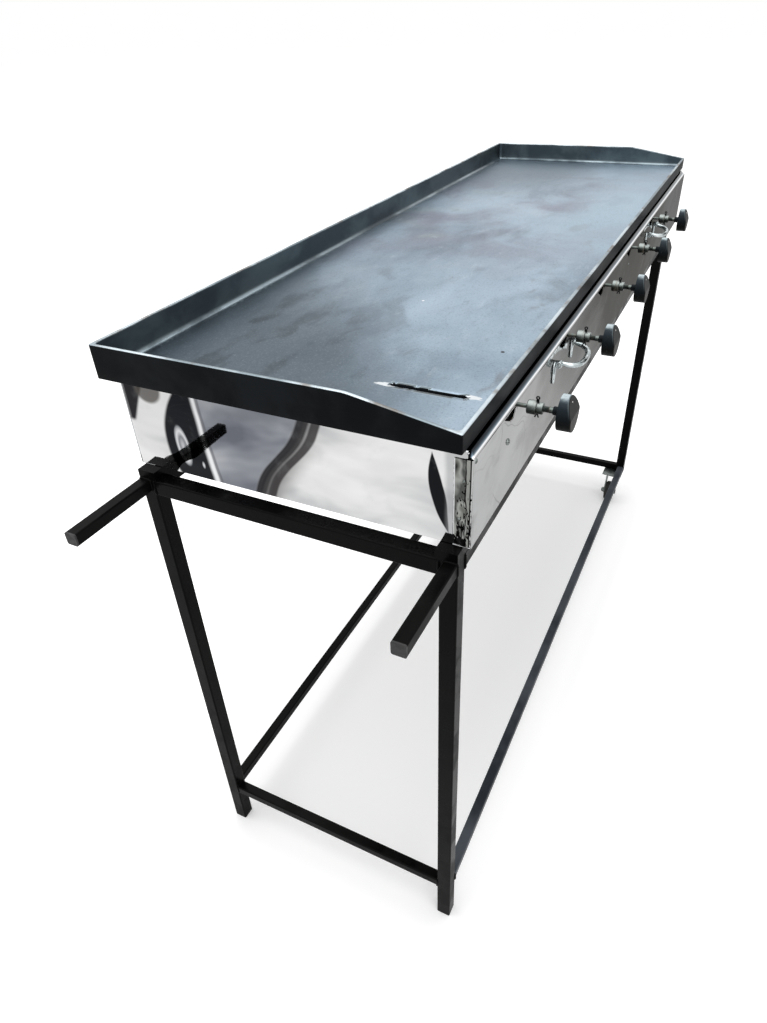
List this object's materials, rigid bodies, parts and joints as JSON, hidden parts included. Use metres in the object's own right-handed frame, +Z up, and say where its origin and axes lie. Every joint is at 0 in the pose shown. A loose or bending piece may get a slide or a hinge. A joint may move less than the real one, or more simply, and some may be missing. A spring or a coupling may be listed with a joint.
{
  "type": "outdoor gas griddle station",
  "caption": "Outdoor gas griddle on a square-tube stand with push handles and swivel casters: steel griddle pan, polished burner box, control knobs and bail handles.",
  "frame": {"origin": "on the floor, under the middle of the overall length and the overall width", "axes": "+X along the length from the handle end to the caster end, +Y from the knob side to the back, +Z up"},
  "size_m": [1.795, 0.61, 1.061],
  "materials": {
    "stand_paint": "gloss black paint on welded tube",
    "polished_sheet": "mirror-polished stainless sheet",
    "griddle_steel": "heat-tinted plain steel, ground rims",
    "frame_steel": "dark heat-proof paint",
    "burner_steel": "heat-darkened steel",
    "pipe_steel": "bare steel pipe",
    "valve_brass": "machined brass",
    "zinc_fitting": "bright zinc plate",
    "knob_plastic": "gloss black",
    "plug_plastic": "moulded black",
    "wheel_plastic": "moulded grey",
    "tyre_rubber": "dark rubber"
  },
  "bodies": {
    "stand": {"leg_near_front": "stand_paint", "leg_near_back": "stand_paint", "leg_far_front": "stand_paint", "leg_far_back": "stand_paint", "top_rail_near": "stand_paint", "top_rail_far": "stand_paint", "top_rail_front": "stand_paint", "top_rail_back": "stand_paint", "stretcher_near": "stand_paint", "stretcher_far": "stand_paint", "stretcher_front": "stand_paint", "stretcher_back": "stand_paint", "push_handle_front": "stand_paint", "push_handle_back": "stand_paint", "foot_plugs": "plug_plastic", "handle_plugs": "plug_plastic", "box_seats": "stand_paint", "caster_plates": "zinc_fitting"},
    "burner_box": {"front_panel": "polished_sheet", "back_panel": "polished_sheet", "end_panel_near": "polished_sheet", "end_panel_far": "polished_sheet", "frame_angle_front": "frame_steel", "frame_angle_back": "frame_steel", "frame_end_angles": "frame_steel", "frame_corner_posts": "frame_steel", "pan_support_bars": "frame_steel", "gas_pipe": "pipe_steel", "gas_inlet": "valve_brass", "gas_valves": "valve_brass", "bail_brackets": "zinc_fitting", "burner_1": "burner_steel", "burner_2": "burner_steel", "burner_3": "burner_steel", "burner_4": "burner_steel", "burner_5": "burner_steel"},
    "griddle": {"griddle_pan": "griddle_steel", "grease_chute": "burner_steel"},
    "front_caster_fork": {"caster_fork_front": "zinc_fitting", "caster_axle_front": "zinc_fitting"},
    "front_caster_wheel": {"caster_wheel_front": "wheel_plastic", "caster_tyre_front": "tyre_rubber"},
    "back_caster_fork": {"caster_fork_back": "zinc_fitting", "caster_axle_back": "zinc_fitting"},
    "back_caster_wheel": {"caster_wheel_back": "wheel_plastic", "caster_tyre_back": "tyre_rubber"},
    "control_knob_1": {"knob_1": "knob_plastic", "knob_shaft_1": "zinc_fitting"},
    "control_knob_2": {"knob_2": "knob_plastic", "knob_shaft_2": "zinc_fitting"},
    "control_knob_3": {"knob_3": "knob_plastic", "knob_shaft_3": "zinc_fitting"},
    "control_knob_4": {"knob_4": "knob_plastic", "knob_shaft_4": "zinc_fitting"},
    "control_knob_5": {"knob_5": "knob_plastic", "knob_shaft_5": "zinc_fitting"},
    "front_bail_1": {"bail_handle_1": "zinc_fitting"},
    "front_bail_2": {"bail_handle_2": "zinc_fitting"}
  },
  "joints": [
    {"name": "box_lift", "type": "slide", "parent": "stand", "child": "burner_box", "axis": [0, 0, 1], "range_m": [0, 0.3]},
    {"name": "griddle_lift", "type": "slide", "parent": "burner_box", "child": "griddle", "axis": [0, 0, 1], "range_m": [0, 0.2]},
    {"name": "front_caster_swivel", "type": "hinge", "parent": "stand", "child": "front_caster_fork", "pos_m": [0.7825, -0.193, 0.086], "axis": [0, 0, 1], "continuous": true},
    {"name": "front_caster_roll", "type": "hinge", "parent": "front_caster_fork", "child": "front_caster_wheel", "pos_m": [0.7525, -0.193, 0.032], "axis": [0, 1, 0], "continuous": true},
    {"name": "back_caster_swivel", "type": "hinge", "parent": "stand", "child": "back_caster_fork", "pos_m": [0.7825, 0.242, 0.086], "axis": [0, 0, 1], "continuous": true},
    {"name": "back_caster_roll", "type": "hinge", "parent": "back_caster_fork", "child": "back_caster_wheel", "pos_m": [0.7525, 0.242, 0.032], "axis": [0, 1, 0], "continuous": true},
    {"name": "knob_1_turn", "type": "hinge", "parent": "burner_box", "child": "control_knob_1", "pos_m": [-0.5855, -0.293, 0.998], "axis": [0, -1, 0], "range_deg": [0, 90]},
    {"name": "knob_2_turn", "type": "hinge", "parent": "burner_box", "child": "control_knob_2", "pos_m": [-0.3425, -0.293, 0.998], "axis": [0, -1, 0], "range_deg": [0, 90]},
    {"name": "knob_3_turn", "type": "hinge", "parent": "burner_box", "child": "control_knob_3", "pos_m": [-0.0995, -0.293, 0.998], "axis": [0, -1, 0], "range_deg": [0, 90]},
    {"name": "knob_4_turn", "type": "hinge", "parent": "burner_box", "child": "control_knob_4", "pos_m": [0.1435, -0.293, 0.998], "axis": [0, -1, 0], "range_deg": [0, 90]},
    {"name": "knob_5_turn", "type": "hinge", "parent": "burner_box", "child": "control_knob_5", "pos_m": [0.3865, -0.293, 0.998], "axis": [0, -1, 0], "range_deg": [0, 90]},
    {"name": "bail_1_swing", "type": "hinge", "parent": "burner_box", "child": "front_bail_1", "pos_m": [-0.3655, -0.24, 0.98], "axis": [1, 0, 0], "range_deg": [-12, 80]},
    {"name": "bail_2_swing", "type": "hinge", "parent": "burner_box", "child": "front_bail_2", "pos_m": [0.3635, -0.24, 0.98], "axis": [1, 0, 0], "range_deg": [-12, 80]}
  ]
}
